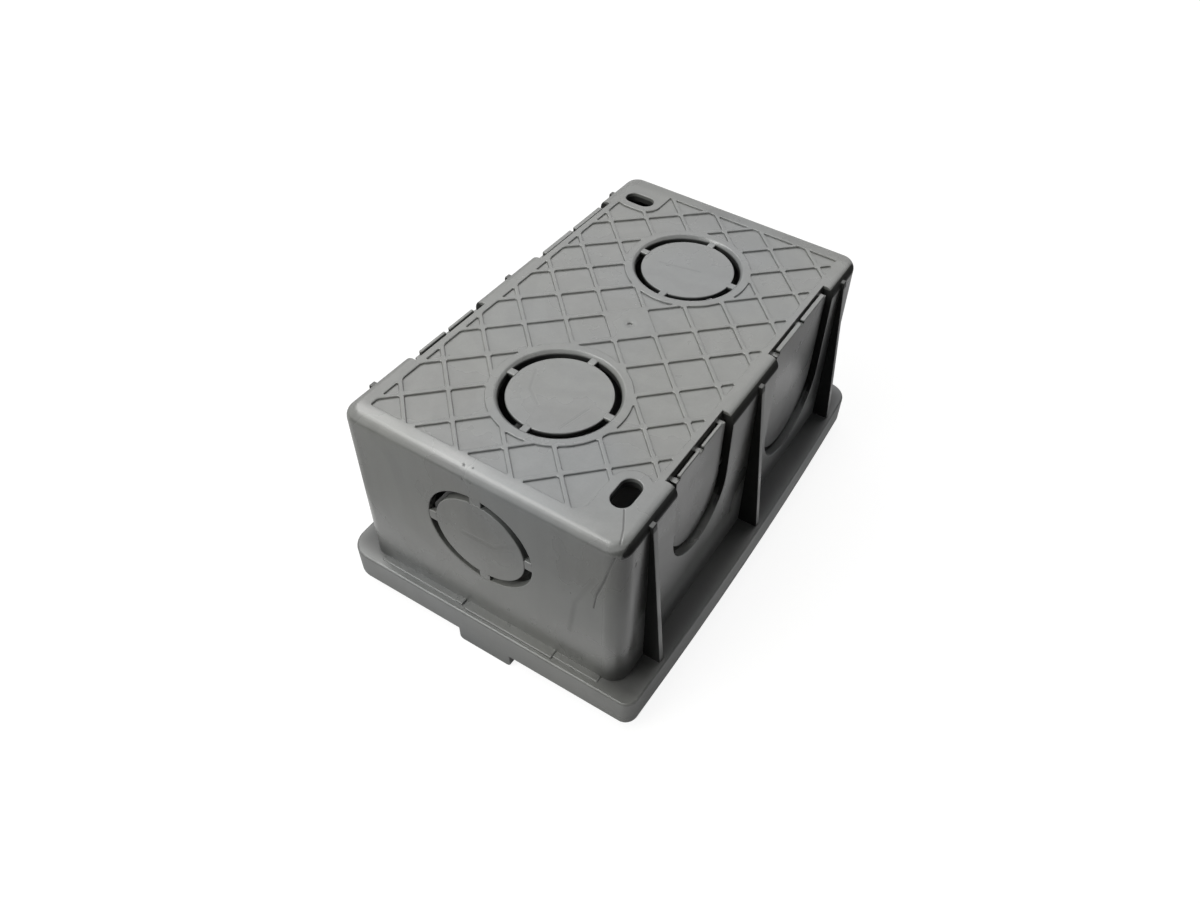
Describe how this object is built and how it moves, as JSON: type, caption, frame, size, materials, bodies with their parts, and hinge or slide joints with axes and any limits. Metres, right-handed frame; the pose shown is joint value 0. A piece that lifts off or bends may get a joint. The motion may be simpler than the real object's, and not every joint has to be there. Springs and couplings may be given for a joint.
{
  "type": "flush back box",
  "caption": "Rectangular one-piece moulded flush back box, face down: ribbed closed back, conduit knockouts in back and all sides, nail slots, rimmed open front, device screw lugs.",
  "frame": {"origin": "middle of the underside of the bounding box: the plane of the two device lugs' faces, under the box's middle", "axes": "+X along the long side, +Y along the short side, +Z from the open front towards the closed back, so the box lies face down on its device lugs"},
  "size_m": [0.105, 0.0716, 0.0509],
  "materials": {
    "shell": "satin moulded plastic, mid grey"
  },
  "bodies": {
    "root": {"back_box": "shell"}
  },
  "joints": []
}
